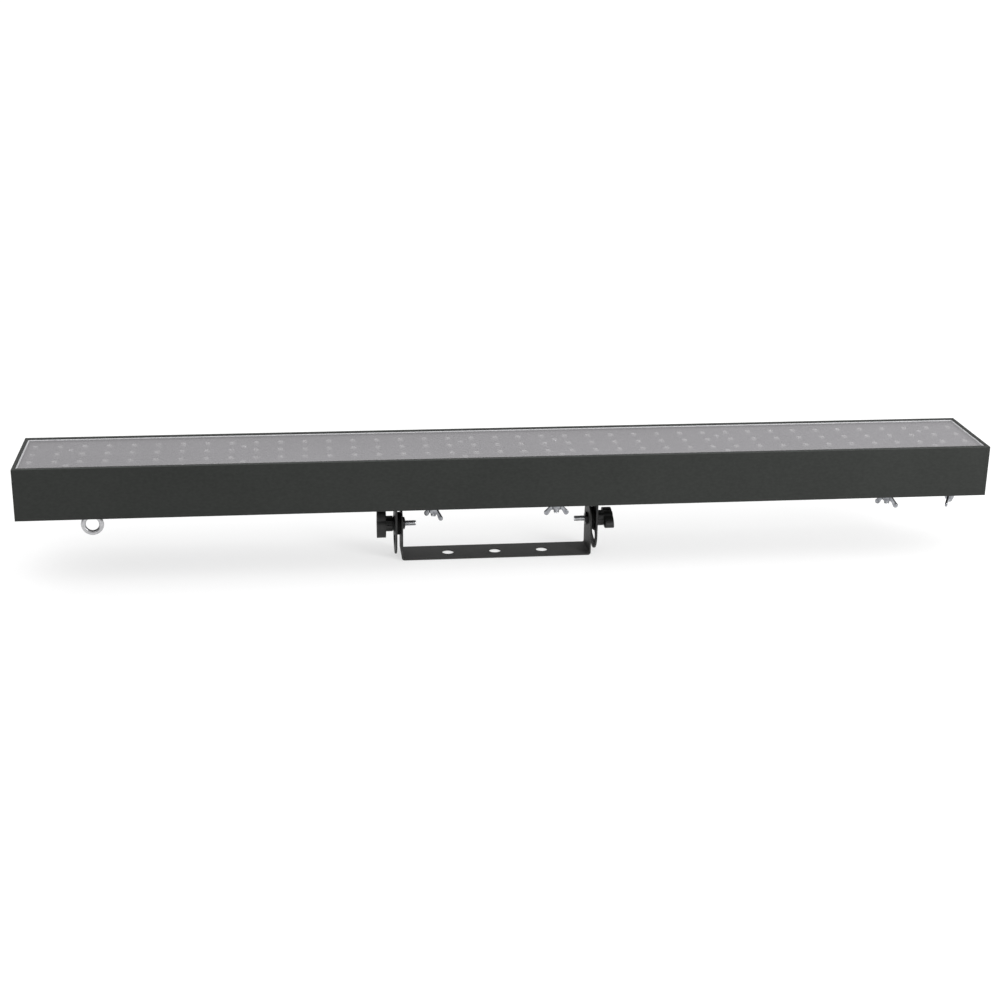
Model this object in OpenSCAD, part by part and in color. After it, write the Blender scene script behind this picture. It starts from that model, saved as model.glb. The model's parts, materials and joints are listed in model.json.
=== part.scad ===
/* [Housing] */
// Length of the batten over both end caps
body_l = 998; // [970:2:1200]
// Front-to-back depth of the batten
body_d = 106; // [100:1:112]
// Height of the batten, underside to rim
body_h = 53.5; // [50:0.5:60]
// Wall thickness of the extruded housing
wall = 2; // [1.8:0.1:2.4]
// Width of the rim along the diffuser's long sides
rim_w = 5; // [4.5:0.1:6]
// Thickness of the end caps, which are the rim's short sides
cap_t = 3.5; // [3:0.1:5]
// Thickness of the lip that holds the diffuser down
lip_t = 1.4; // [0.8:0.1:1.4]
// Radius on the long outer edges
edge_r = 0.5; // [0.4:0.1:1.2]

/* [Light engine] */
// Spacing of the light sources, both ways
pitch = 25; // [25:0.5:25.5]
// Rows of light sources
rows = 4; // [2:2:4]
// Side of one square light source
led_w = 5; // [3:0.5:6]
// Height of one light source
led_h = 1.6; // [1:0.1:1.8]
// Thickness of the smoked diffuser
diffuser_t = 2; // [2:0.5:3]
// Air gap between the diffuser and the light sources
air_gap = 1.5; // [1.5:0.25:2.5]
// Thickness of the circuit boards
board_t = 1.6; // [1.2:0.2:1.6]

/* [Rails] */
// Distance of each rail from the centre line
rail_y = 30; // [29:0.5:31]
// Width of the rail mouth
rail_mouth = 8.4; // [7.4:0.2:9]
// Inner width of the rail chamber
rail_w = 14; // [13:0.5:15]
// Inner height of the rail chamber
rail_h = 5.5; // [5:0.5:6]

/* [Bracket and yoke] */
// Offset of the bracket from the middle of the batten
bracket_x = -15; // [-20:1:20]
// Outer length of the yoke
yoke_l = 200; // [190:1:205]
// Width of the yoke's steel strip
yoke_w = 37; // [30:1:38]
// Thickness of the yoke's steel strip
yoke_t = 1.5; // [1.5:0.1:2]
// Height of the tilt axis above the yoke's underside
pivot_z = 35; // [33:0.5:38]
// Height of the housing's underside above the yoke's underside
body_z = 67.5; // [66:0.5:72]
// Diameter of the three holes in the yoke
yoke_hole_d = 12.5; // [8:0.5:13]
// Spacing of the three holes in the yoke
yoke_hole_pitch = 50; // [40:1:55]
// Outer length of the bracket, over its ears
bracket_l = 213; // [212:1:216]
// Width of the bracket's ears
ear_w = 38; // [36:1:40]
// Thickness of the bracket's sheet
ear_t = 2; // [1.8:0.1:2.2]

/* [Knobs and wing nuts] */
// Span of the knob's wings
knob_span = 31; // [28:1:34]
// Thickness of the knob's head
knob_head_t = 9.6; // [8:0.2:11]
// Length of the knob's hub
knob_hub_l = 7.6; // [6:0.2:9]
// Diameter of the knob's hub
knob_hub_d = 15; // [13:0.5:16]
// Turn of the left knob about its stud
knob_turn_left = 0; // [0:5:180]
// Turn of the right knob about its stud
knob_turn_right = -70; // [-180:5:180]
// Span of a wing nut
wing_span = 26; // [24:1:28]
// Height of a wing nut
wing_h = 13; // [12:0.5:15]

/* [Hidden] */
$fn = 48;
EPS = 0.01;
FIT = 0.05;      // radial running clearance of a shaft in its hole
GAP = 0.3;       // clearance between pieces that move past each other

inner_l = body_l - 2 * cap_t;
inner_d = body_d - 2 * wall;

// Heights inside the housing, measured from its underside
groove_top = body_h - lip_t;
groove_h = diffuser_t + 0.2;
ledge_t = 1.5;
diffuser_z = groove_top - 0.1 - diffuser_t;
led_top = diffuser_z - air_gap;
board_z = led_top - led_h - board_t;
standoff_h = 6.5;
carrier_t = 1.5;
carrier_z = board_z - standoff_h - carrier_t;
deck_z = wall + rail_h + wall;          // top of the rail blocks
rail_block_w = rail_w + 2 * wall;

cols = floor((inner_l - led_w) / pitch) + 1;
half_cols = floor(cols / 2);
screw_cols = [2, round(half_cols * 0.45), half_cols - 2];
screw_y = pitch;

port_r = 3.2;                           // screw ports for the end caps
port_y = inner_d / 2 - port_r;
port_z = [14, 30];
cap_screw_r = 1.45;
sink_r = cap_screw_r + FIT;

m6_r = 3;
m3_r = 1.45;
bolt_hole_r = m6_r + 0.2;
bolt_drop = 14.4;                       // reach of a rail bolt below the housing
washer_t = 1.6;

base_z = body_z - GAP - ear_t;          // underside of the bracket's base plate
base_w = 2 * rail_y + 16;
ear_x = bracket_l / 2 - ear_t;          // inner face of an ear
ear_tip_z = 2.3;
arm_x = yoke_l / 2;                     // outer face of an arm
disc_t = ear_x - arm_x - GAP;
slot_r = 18;                            // mid radius of the arc slot in an ear
slot_w = 10;
slot_a = 28;

nut_top = base_z - washer_t;            // upper face of the wing nuts
knob_washer_t = 1;
knob_x = bracket_l / 2 + GAP + knob_washer_t;   // face of the knob's hub
bracket_bolts_x = [-68, 60];            // along the bracket, from its centre
eye_x = -(body_l / 2 - 72);
link_x = body_l / 2 - 64;
link_l = 100;
link_pitch = 69;

inlet_x = -330;
outlet_x = -290;
data_in_x = 312;
data_out_x = 350;
sockets_x = [inlet_x, outlet_x, data_in_x, data_out_x];
socket_r = 9.5;                         // the mouth that a plug enters
socket_body_r = 11.8;
socket_h = 22;
socket_flange = [31, 26, 2];
contact_z = 9.5;                        // tips of the contacts
contact_r = 1.2;

fuse_x = -255;
fuse_body_r = 6.2;
fuse_h = 30;
fuse_rim_t = 1.5;

panel_x = 250;
panel_l = 80;
panel_w = 38;
panel_t = 1.5;
panel_screw_x = 37;                     // from the panel's centre, as all of these
panel_screw_y = 16.5;
panel_cut_x = [-34, 39];
panel_cut_w = 27.2;
display_x = [-28, 4];
display_w = 18;
button_x = [16, 32];
button_y = [-9, 9];
button_r = 4;
control_z = 12;                         // underside of the control board
control_screw_x = [-46, 34];
terminal_x = -46;                       // the board's supply terminal
terminal_h = 7;
switch_h = 1.6;

supply_x0 = -195;
supply_x1 = -15;
supply_w = 78;
supply_h = 22;
supply_sheet = 1;
supply_tab = 10;
window_z = [deck_z + 4, deck_z + 14];   // wire openings in the supply's ends
window_w = [60, 40];
window_mid = (window_z[0] + window_z[1]) / 2;

// ---------- shared shapes ----------

// Extrudes a (Y, Z) outline along X, from x0 to x1
module along_x(x0, x1) {
    translate([x0, 0, 0]) rotate([90, 0, 90]) linear_extrude(x1 - x0) children();
}

// Extrudes an (X, Z) outline along Y, from y0 to y1
module along_y(y0, y1) {
    translate([0, y1, 0]) rotate([90, 0, 0]) linear_extrude(y1 - y0) children();
}

module rod_x(x0, x1, r, z = 0, y = 0) {
    translate([x0, y, z]) rotate([0, 90, 0]) cylinder(h = x1 - x0, r = r);
}

module rod_z(x, y, z0, z1, r) {
    translate([x, y, z0]) cylinder(h = z1 - z0, r = r);
}

module block(x0, x1, y0, y1, z0, z1) {
    translate([x0, y0, z0]) cube([x1 - x0, y1 - y0, z1 - z0]);
}

// A rectangle with round corners, centred in its first direction and standing on its second
module round_rect(w, h, r) {
    translate([-w / 2 + r, 0]) square([w - 2 * r, h]);
    translate([-w / 2, r]) square([w, h - 2 * r]);
    for (x = [-w / 2 + r, w / 2 - r], y = [r, h - r]) translate([x, y]) circle(r = r);
}

// A flat strip with two round ends, centred, long side along its second direction
module stadium(w, l) {
    square([w, l - w], center = true);
    for (s = [-1, 1]) translate([0, s * (l - w) / 2]) circle(r = w / 2);
}

// A countersunk screw along +Z with its flat top at z = 0 and its shank below
module countersunk(r, l) {
    translate([0, 0, -r]) cylinder(h = r, r1 = r, r2 = 2 * r);
    translate([0, 0, -l]) cylinder(h = l, r = r);
}

// A pan-head screw, head above z = 0 and shank below
module pan_screw(r, l) {
    cylinder(h = 1.3 * r, r1 = 2 * r, r2 = 1.7 * r);
    translate([0, 0, -l]) cylinder(h = l, r = r);
}

// ---------- housing ----------

// The outline of one rail: a block on the floor, and the chamber and mouth cut from it
module rail_block() {
    for (s = [-1, 1]) translate([s * rail_y - rail_block_w / 2, 0]) square([rail_block_w, deck_z]);
}

module rail_cut() {
    for (s = [-1, 1]) {
        translate([s * rail_y - rail_w / 2, wall]) square([rail_w, rail_h]);
        translate([s * rail_y - rail_mouth / 2, -1]) square([rail_mouth, wall + 2]);
    }
}

module ledge(z0, t) {
    for (s = [-1, 1])
        translate([s * (inner_d / 2 - rim_w / 2 + wall / 2), z0 + t / 2])
            square([rim_w - wall + 2 * EPS, t], center = true);
}

module housing_profile() {
    difference() {
        union() {
            difference() {
                round_rect(body_d, body_h, edge_r);
                translate([-inner_d / 2, wall]) square([inner_d, groove_top - wall]);
                translate([-body_d / 2 + rim_w, body_h / 2]) square([body_d - 2 * rim_w, body_h]);
            }
            rail_block();
            ledge(groove_top - groove_h - ledge_t, ledge_t);
            ledge(carrier_z - ledge_t, ledge_t);
            ledge(carrier_z + carrier_t + 0.2, ledge_t);
            for (s = [-1, 1], z = port_z) translate([s * (port_y + EPS), z]) circle(r = port_r);
        }
        rail_cut();
        for (s = [-1, 1], z = port_z) translate([s * port_y, z]) circle(r = sink_r);
    }
}

module housing() {
    color([0.16, 0.165, 0.16]) translate([0, 0, body_z]) difference() {
        along_x(-inner_l / 2, inner_l / 2) housing_profile();
        for (x = sockets_x) {
            rod_z(x, 0, -1, wall + 1, socket_body_r + 0.4);
            socket_screw_places(x) cylinder(h = 3 * wall, r = m3_r + FIT, center = true);
        }
        rod_z(fuse_x, 0, -1, wall + 1, fuse_body_r + 0.1);
        block(panel_x + panel_cut_x[0], panel_x + panel_cut_x[1],
            -panel_cut_w / 2, panel_cut_w / 2, -1, wall + 1);
        panel_screw_places() cylinder(h = 3 * wall, r = m3_r + FIT, center = true);
        supply_screw_places() translate([0, 0, -wall]) cylinder(h = wall + 1, r = m3_r + FIT);
    }
}

module end_cap_shape() {
    along_x(0, cap_t) difference() {
        round_rect(body_d, body_h, edge_r);
        rail_cut();
        for (s = [-1, 1], z = port_z) translate([s * port_y, z]) circle(r = sink_r);
    }
}

module end_cap(side) {
    color([0.15, 0.155, 0.15]) translate([0, 0, body_z]) mirror([side < 0 ? 1 : 0, 0, 0])
        translate([inner_l / 2, 0, 0]) difference() {
            end_cap_shape();
            for (s = [-1, 1], z = port_z) translate([cap_t - sink_r, s * port_y, z]) rotate([0, 90, 0])
                cylinder(h = 2, r1 = sink_r, r2 = sink_r + 2);
        }
}

module end_cap_left() end_cap(-1);
module end_cap_right() end_cap(1);

module end_cap_screws() {
    color("dimgray") for (m = [0, 1]) mirror([m, 0, 0])
        for (s = [-1, 1], z = port_z)
            translate([body_l / 2, s * port_y, body_z + z]) rotate([0, 90, 0]) countersunk(cap_screw_r, 18);
}

module diffuser() {
    color([0.62, 0.61, 0.62, 0.6])
        block(-inner_l / 2 + 0.3, inner_l / 2 - 0.3, -inner_d / 2 + 0.4, inner_d / 2 - 0.4,
            body_z + diffuser_z, body_z + diffuser_z + diffuser_t);
}

// ---------- light engine ----------

function board_start(side) = side < 0 ? -half_cols * pitch : 0;

module board_screw_places(side) {
    for (c = screw_cols, s = [-1, 1])
        translate([board_start(side) + c * pitch, s * screw_y, body_z]) children();
}

module led_board(side) {
    x0 = side < 0 ? -inner_l / 2 + 0.3 : 0.2;
    x1 = side < 0 ? -0.2 : inner_l / 2 - 0.3;
    color([0.14, 0.15, 0.16]) difference() {
        block(x0, x1, -inner_d / 2 + 0.6, inner_d / 2 - 0.6, body_z + board_z, body_z + board_z + board_t);
        board_screw_places(side) translate([0, 0, board_z - 1]) cylinder(h = board_t + 2, r = m3_r + FIT);
    }
}

module led_board_left() led_board(-1);
module led_board_right() led_board(1);

module led_packages(side) {
    color([0.86, 0.86, 0.82]) for (c = [0:half_cols - 1], r = [0:rows - 1])
        translate([board_start(side) + (c + 0.5) * pitch, (r - (rows - 1) / 2) * pitch,
            body_z + board_z + board_t]) translate([-led_w / 2, -led_w / 2, 0]) cube([led_w, led_w, led_h]);
}

module led_packages_left() led_packages(-1);
module led_packages_right() led_packages(1);

module led_board_screws() {
    color("silver") for (side = [-1, 1]) board_screw_places(side) translate([0, 0, board_z + board_t]) {
        cylinder(h = 1.2, r = 2.8);
        translate([0, 0, -board_t - 4]) cylinder(h = board_t + 4.5, r = m3_r);
    }
}

module board_standoffs() {
    color("gainsboro") for (side = [-1, 1]) board_screw_places(side) difference() {
        translate([0, 0, carrier_z + carrier_t]) cylinder(h = standoff_h, r = 3);
        translate([0, 0, board_z - 4.5]) cylinder(h = 6, r = m3_r + FIT);
    }
}

module carrier_plate() {
    color("lightgray") block(-inner_l / 2 + 0.4, inner_l / 2 - 0.4, -inner_d / 2 + 0.4, inner_d / 2 - 0.4,
        body_z + carrier_z, body_z + carrier_z + carrier_t);
}

// ---------- power supply ----------

module supply_screw_places() {
    for (x = [supply_x0 - supply_tab / 2, supply_x1 + supply_tab / 2], s = [-1, 1])
        translate([x, s * rail_y, deck_z]) children();
}

module power_supply_case() {
    w = supply_w / 2;
    t = supply_sheet;
    color("silver") translate([0, 0, body_z]) difference() {
        union() {
            block(supply_x0, supply_x1, -w, w, deck_z, deck_z + supply_h);
            block(supply_x0 - supply_tab, supply_x1 + supply_tab, -w, w, deck_z, deck_z + t);
        }
        block(supply_x0 + t, supply_x1 - t, -w + t, w - t, deck_z + t, deck_z + supply_h - t);
        for (x = [supply_x0 + 20:12:supply_x1 - 20])
            translate([x, 0, deck_z + supply_h]) linear_extrude(4 * t, center = true) stadium(4, 46);
        for (i = [0, 1]) translate([[supply_x0, supply_x1][i], 0, 0])
            block(-2 * t, 2 * t, -window_w[i] / 2, window_w[i] / 2, window_z[0], window_z[1]);
        supply_screw_places() cylinder(h = 4 * t, r = m3_r + FIT, center = true);
    }
}

// A board with two input capacitors, a transformer, three output capacitors and a heat sink
module power_supply_board() {
    margin = 2 * supply_sheet;
    part_h = 16;
    color("darkolivegreen") translate([supply_x0, 0, body_z + deck_z + margin]) {
        block(margin, supply_x1 - supply_x0 - margin,
            -supply_w / 2 + margin, supply_w / 2 - margin, 0, board_t);
        for (x = [30, 50]) rod_z(x, -18, 0, part_h, 8);
        block(65, 97, -16, 16, 0, part_h + 1);
        for (x = [125, 143, 161]) rod_z(x, 20, 0, part_h - 1, 6);
        block(109, 155, -26, -18, 0, part_h);
    }
}

module power_supply_screws() {
    color("silver") translate([0, 0, body_z + supply_sheet]) supply_screw_places() pan_screw(m3_r, 2.8);
}

// ---------- control board and panel ----------

module control_spacer_places() {
    for (x = control_screw_x, s = [-1, 1]) translate([panel_x + x, s * rail_y, body_z + deck_z]) children();
}

// A board with two chips and the supply terminal on top, and the key switches and the display below
module control_board() {
    color("darkgreen") difference() {
        translate([panel_x, 0, body_z + control_z]) {
            block(-52, 40, -36, 36, 0, board_t);
            block(-30, -16, -7, 7, board_t - EPS, board_t + 2);
            block(4, 14, -24, -14, board_t - EPS, board_t + 2);
            block(terminal_x - 4, terminal_x + 4, -12, 12, board_t - EPS, board_t + terminal_h);
            for (x = button_x, y = button_y) block(x - 3, x + 3, y - 3, y + 3, -switch_h, EPS);
            block(display_x[0], display_x[1], -10, 10, -7, EPS);
        }
        control_spacer_places() translate([0, 0, -1]) cylinder(h = 8, r = m3_r + FIT);
    }
}

module control_board_spacers() {
    color("gold") control_spacer_places() {
        difference() {
            cylinder(h = control_z - deck_z, r = 2.8);
            translate([0, 0, -1]) cylinder(h = 5, r = m3_r + FIT);
        }
        translate([0, 0, control_z - deck_z + board_t]) pan_screw(m3_r, 3.6);
    }
}

module panel_screw_places() {
    for (sx = [-1, 1], sy = [-1, 1])
        translate([panel_x + sx * panel_screw_x, sy * panel_screw_y, 0]) children();
}

module control_panel() {
    color([0.1, 0.1, 0.1]) translate([0, 0, body_z]) difference() {
        translate([panel_x, -panel_w / 2, -panel_t]) linear_extrude(panel_t) round_rect(panel_l, panel_w, 2);
        block(panel_x + display_x[0], panel_x + display_x[1], -display_w / 2, display_w / 2, -2, 1);
        for (x = button_x, y = button_y) rod_z(panel_x + x, y, -2, 1, button_r + GAP);
        panel_screw_places() translate([0, 0, -2]) cylinder(h = 3, r = m3_r + FIT);
    }
}

module control_panel_screws() {
    color("dimgray") translate([0, 0, body_z - panel_t]) panel_screw_places()
        rotate([180, 0, 0]) pan_screw(m3_r, 3.4);
}

module display_window() {
    color([0.05, 0.08, 0.12]) translate([panel_x, 0, body_z])
        block(display_x[0] + FIT, display_x[1] - FIT, -display_w / 2 + FIT, display_w / 2 - FIT, -1.3, 0.2);
}

// A key that stands out of the panel, with a stem that stops 0.9 mm short of its switch
module menu_button(i) {
    x = panel_x + button_x[i % 2];
    y = button_y[floor(i / 2)];
    color("darkgray") translate([x, y, body_z]) {
        translate([0, 0, -3]) cylinder(h = 1, r1 = button_r - 0.6, r2 = button_r);
        translate([0, 0, -2]) cylinder(h = 3, r = button_r);
        cylinder(h = control_z - switch_h - 0.9, r = 1.8);
    }
}

module menu_button_1() menu_button(0);
module menu_button_2() menu_button(1);
module menu_button_3() menu_button(2);
module menu_button_4() menu_button(3);

// ---------- sockets and fuse ----------

module socket_screw_places(x) {
    for (s = [-1, 1]) translate([x + s * 12, s * 9.5, 0]) children();
}

// A chassis socket: flange below the floor, round body above it, and a keyed mouth that opens downwards.
// The contacts stand in a slightly narrower chamber behind the mouth.
module chassis_socket(x, contacts) {
    mouth_top = contact_z - 0.5;
    chamber_top = contact_z + 3.5;
    flange_t = socket_flange[2];
    translate([x, 0, body_z]) difference() {
        union() {
            translate([0, -socket_flange[1] / 2, -flange_t]) linear_extrude(flange_t)
                round_rect(socket_flange[0], socket_flange[1], 2);
            translate([0, 0, -EPS]) cylinder(h = socket_h + EPS, r = socket_body_r);
        }
        translate([0, 0, -flange_t - 1]) cylinder(h = flange_t + 1 + mouth_top, r = socket_r);
        cylinder(h = chamber_top, r = socket_r - 0.6);
        socket_screw_places(0) translate([0, 0, -flange_t - 1]) cylinder(h = flange_t + 2, r = m3_r + FIT);
        block(socket_r - 2, socket_r + 1, -1.5, 1.5, -flange_t - 1, mouth_top);
    }
    translate([x, 0, body_z]) for (i = [0:contacts - 1]) rotate([0, 0, i * 360 / contacts])
        translate([5, 0, contact_z]) cylinder(h = 5, r = contact_r);
}

module power_inlet() color("royalblue") chassis_socket(inlet_x, 3);
module power_outlet() color("gainsboro") chassis_socket(outlet_x, 3);
module data_input_socket() color([0.12, 0.12, 0.12]) chassis_socket(data_in_x, 5);
module data_output_socket() color([0.12, 0.12, 0.12]) chassis_socket(data_out_x, 5);

module socket_screws() {
    color("dimgray") for (x = sockets_x) translate([0, 0, body_z - socket_flange[2]])
        socket_screw_places(x) rotate([180, 0, 0]) pan_screw(m3_r, 4.5);
}

module fuse_holder() {
    color([0.1, 0.1, 0.1]) translate([fuse_x, 0, body_z]) difference() {
        union() {
            translate([0, 0, -fuse_rim_t]) cylinder(h = fuse_rim_t, r = 8);
            translate([0, 0, -EPS]) cylinder(h = fuse_h + EPS, r = fuse_body_r);
        }
        translate([0, 0, -2]) cylinder(h = fuse_h - 2, r = 5);
    }
}

// Quarter-turn cap with a screwdriver slot, carrying the fuse
module fuse_cap() {
    color([0.08, 0.08, 0.08]) translate([fuse_x, 0, body_z]) difference() {
        union() {
            translate([0, 0, -4]) cylinder(h = 4 - fuse_rim_t - GAP, r = 7);
            translate([0, 0, -4]) cylinder(h = fuse_h - 3, r = 5 - GAP);
        }
        block(-6, 6, -0.6, 0.6, -5, -2.8);
    }
}

// ---------- inner wiring ----------

// A wire in a plane of constant Y: its [X, Z] points joined by legs along X or Z with round corners
module wire(points, y, r, bend) {
    last = len(points) - 1;
    function unit(i) = (points[i + 1] - points[i]) / norm(points[i + 1] - points[i]);
    translate([0, y, body_z]) rotate([90, 0, 0]) {
        for (i = [0:last - 1]) {
            start = points[i] + unit(i) * (i > 0 ? bend : 0);
            end = points[i + 1] - unit(i) * (i < last - 1 ? bend : 0);
            translate(start) rotate([0, 0, atan2(unit(i)[1], unit(i)[0])]) rotate([0, 90, 0])
                cylinder(h = norm(end - start), r = r, $fn = 16);
        }
        for (i = [1:last - 1]) {
            into = unit(i - 1);
            out = unit(i);
            from = cross(out, into) < 0 ? -out : into;
            translate(points[i] + bend * (out - into)) rotate([0, 0, atan2(from[1], from[0])])
                rotate_extrude(angle = 90) translate([bend, 0]) circle(r = r, $fn = 16);
        }
    }
}

// Two cores from socket to socket and on to the supply; one of them passes through the fuse
module mains_wires() {
    top = fuse_h + 3.5;
    drop_x = supply_x0 - 16;
    supply_end = [[drop_x, top], [drop_x, window_mid], [supply_x0 + 1.5, window_mid]];
    outlet_end = [[outlet_x + 6, socket_h], [outlet_x + 6, top]];
    module core(points, y) wire(points, y, 1.2, 3);
    color("saddlebrown") {
        for (s = [-1, 1])
            core([[inlet_x, socket_h], [inlet_x, top], [outlet_x - 6, top], [outlet_x - 6, socket_h]], 3 * s);
        core(concat(outlet_end, supply_end), 3);
        core(concat(outlet_end, [[fuse_x - 2.5, top], [fuse_x - 2.5, fuse_h]]), -3);
        core(concat([[fuse_x + 2.5, fuse_h], [fuse_x + 2.5, top]], supply_end), -3);
    }
}

module board_supply_wires() {
    rise = panel_x - 60;
    top = control_z + board_t + terminal_h + 6.4;
    end_x = panel_x + terminal_x;
    color("firebrick") for (s = [-1, 1])
        wire([[supply_x1 - 1.5, window_mid], [rise, window_mid], [rise, top], [end_x, top],
            [end_x, control_z + board_t + terminal_h]], 8 * s, 1.4, 3);
}

module data_ribbon() {
    start_x = panel_x + 20;
    board_top = control_z + board_t;
    ribbon_z = socket_h + 4;
    t = 0.8;
    color("lightgray") translate([0, 0, body_z]) along_y(-6, 6) {
        translate([start_x, ribbon_z]) square([data_out_x - start_x, t]);
        translate([start_x, board_top]) square([t, ribbon_z - board_top + EPS]);
        for (x = [data_in_x, data_out_x]) translate([x - t, socket_h]) square([t, ribbon_z - socket_h + EPS]);
    }
}

// ---------- rail fasteners ----------

// A bolt whose square head slides in a rail, pointing down; z = 0 is the housing's underside
module rail_bolt() {
    head_w = rail_w - 1;
    translate([0, 0, body_z + wall + 0.4]) linear_extrude(3.6) square([head_w - 1, head_w], center = true);
    translate([0, 0, body_z - bolt_drop]) cylinder(h = bolt_drop + wall + 1, r = m6_r);
}

module flat_washer(top) {
    translate([0, 0, top - washer_t]) difference() {
        cylinder(h = washer_t, r = 6.2);
        translate([0, 0, -1]) cylinder(h = washer_t + 2, r = bolt_hole_r);
    }
}

// One wing: it flares out and down from the hub
module wing_outline() {
    tip = 2.6;
    polygon([[2, -1], [4.6, -0.5], [wing_span / 2 - 1, -wing_h + tip + 2],
        [wing_span / 2 - tip * 1.9, -wing_h + tip * 0.6], [3.6, -6.5], [2, -6.5]]);
    translate([wing_span / 2 - tip, -wing_h + tip]) circle(r = tip);
}

// A wing nut hanging below z = top, its wings turned by the angle given
module wing_nut(top, turn) {
    translate([0, 0, top]) rotate([0, 0, turn]) difference() {
        union() {
            translate([0, 0, -6.5]) cylinder(h = 6.5, r1 = 4.3, r2 = 5.4);
            for (m = [0, 1]) mirror([m, 0, 0]) along_y(-1.1, 1.1) wing_outline();
        }
        translate([0, 0, -wing_h - 1]) cylinder(h = wing_h + 2, r = m6_r + FIT);
    }
}

module bracket_bolt_places() {
    for (x = bracket_bolts_x, s = [-1, 1]) translate([bracket_x + x, s * rail_y, 0]) children();
}

module bracket_bolts() {
    color("silver") bracket_bolt_places() rail_bolt();
}

module bracket_washers() {
    color("silver") bracket_bolt_places() flat_washer(base_z);
}

module bracket_wing_nuts() {
    turns = [[-50, -35], [0, 50]];
    color("silver") for (i = [0, 1], j = [0, 1])
        translate([bracket_x + bracket_bolts_x[i], (1 - 2 * j) * -rail_y, 0]) wing_nut(nut_top, turns[i][j]);
}

module eye_bolt() {
    ring_r = 9;
    wire_r = 2.5;
    ring_z = -13.1;
    color("silver") translate([eye_x, -rail_y, body_z]) {
        translate([0, 0, ring_z]) rotate([90, 0, 0])
            rotate_extrude() translate([ring_r, 0]) circle(r = wire_r);
        translate([0, 0, -1.6]) cylinder(h = 1.6, r = 5.6);
        translate([0, 0, -2.8]) cylinder(h = 1.3, r1 = 3.6, r2 = 5.6);
        translate([0, 0, -2]) cylinder(h = 7.4, r = m6_r);
    }
}

module eye_bolt_nut() {
    color("silver") translate([eye_x, -rail_y, body_z + wall]) difference() {
        linear_extrude(4) square([16, rail_w - 1], center = true);
        translate([0, 0, -1]) cylinder(h = 6, r = m6_r + FIT);
    }
}

module link_bolt_places() {
    for (x = [-link_pitch / 2, link_pitch / 2], s = [-1, 1])
        translate([link_x + x, s * rail_y, 0]) children();
}

module link_plate() {
    color([0.16, 0.16, 0.16]) translate([link_x, 0, base_z]) difference() {
        translate([0, -base_w / 2, 0]) linear_extrude(ear_t) round_rect(link_l, base_w, 4);
        for (x = [-link_pitch / 2, link_pitch / 2], s = [-1, 1])
            translate([x, s * rail_y, -1]) cylinder(h = ear_t + 2, r = bolt_hole_r);
    }
}

module link_bolts() {
    color("silver") link_bolt_places() rail_bolt();
}

module link_washers() {
    color("silver") link_bolt_places() flat_washer(base_z);
}

module link_wing_nuts() {
    turns = [[-45, -20], [55, 25]];
    color("silver") for (i = [0, 1], j = [0, 1])
        translate([link_x + (i - 0.5) * link_pitch, (1 - 2 * j) * -rail_y, 0]) wing_nut(nut_top, turns[i][j]);
}

// ---------- bracket and yoke ----------

// A (Y, Z) outline of an ear: straight sides down to a round end
module ear_outline() {
    r = ear_w / 2;
    translate([-r, ear_tip_z + r]) square([ear_w, base_z - ear_tip_z - r + ear_t]);
    translate([0, ear_tip_z + r]) circle(r = r);
}

// A slot that follows an arc about the pivot, centred below it
module arc_slot() {
    reach = 2 * slot_r;
    intersection() {
        difference() {
            circle(r = slot_r + slot_w / 2);
            circle(r = slot_r - slot_w / 2);
        }
        polygon([[0, 0], [-reach * tan(slot_a), -reach], [reach * tan(slot_a), -reach]]);
    }
    for (s = [-1, 1]) translate(slot_r * [s * sin(slot_a), -cos(slot_a)]) circle(r = slot_w / 2);
}

// The sheet's bent section, seen along Y: a base between two ears, corners rounded
module channel_section(l, z0, z1, t, r) {
    difference() {
        translate([0, z0]) round_rect(l, z1 - z0 + 20, r + t);
        translate([0, z0 + t]) round_rect(l - 2 * t, z1 - z0 + 20, r);
        translate([-l, z1]) square([2 * l, 40]);
    }
}

module mount_bracket() {
    bend_r = 1.5;
    top = base_z + ear_t;
    color([0.15, 0.15, 0.15]) translate([bracket_x, 0, 0]) difference() {
        union() {
            intersection() {
                along_y(-ear_w / 2, ear_w / 2) translate([0, top]) mirror([0, 1])
                    channel_section(bracket_l, 0, top, ear_t, bend_r);
                along_x(-bracket_l, bracket_l) ear_outline();
            }
            translate([0, -base_w / 2, base_z]) linear_extrude(ear_t) round_rect(2 * ear_x - 6, base_w, 4);
        }
        rod_x(-bracket_l, bracket_l, m6_r + FIT, pivot_z);
        along_x(-bracket_l, bracket_l) translate([0, pivot_z]) arc_slot();
        for (x = bracket_bolts_x, s = [-1, 1]) translate([x, s * rail_y, base_z - 1])
            cylinder(h = ear_t + 2, r = bolt_hole_r);
    }
}

module friction_disc(side) {
    x0 = ear_x - disc_t;
    color([0.05, 0.05, 0.05]) translate([bracket_x, 0, 0]) mirror([side < 0 ? 1 : 0, 0, 0]) difference() {
        rod_x(x0, ear_x, 12, pivot_z);
        rod_x(x0 - 1, ear_x + 1, m6_r + FIT, pivot_z);
    }
}

module friction_disc_left() friction_disc(-1);
module friction_disc_right() friction_disc(1);

module yoke() {
    bend_r = 1.5;
    top = pivot_z + yoke_w / 2;
    color([0.27, 0.27, 0.265]) translate([bracket_x, 0, 0]) difference() {
        intersection() {
            along_y(-yoke_w / 2, yoke_w / 2) channel_section(yoke_l, 0, top, yoke_t, bend_r);
            along_x(-yoke_l, yoke_l) {
                translate([-yoke_w / 2, -1]) square([yoke_w, pivot_z + 1]);
                translate([0, pivot_z]) circle(r = yoke_w / 2);
            }
        }
        rod_x(-yoke_l, yoke_l, m6_r + FIT, pivot_z);
        for (i = [-1:1]) rod_z(i * yoke_hole_pitch, 0, -1, yoke_t + 1, yoke_hole_d / 2);
    }
}

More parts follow.
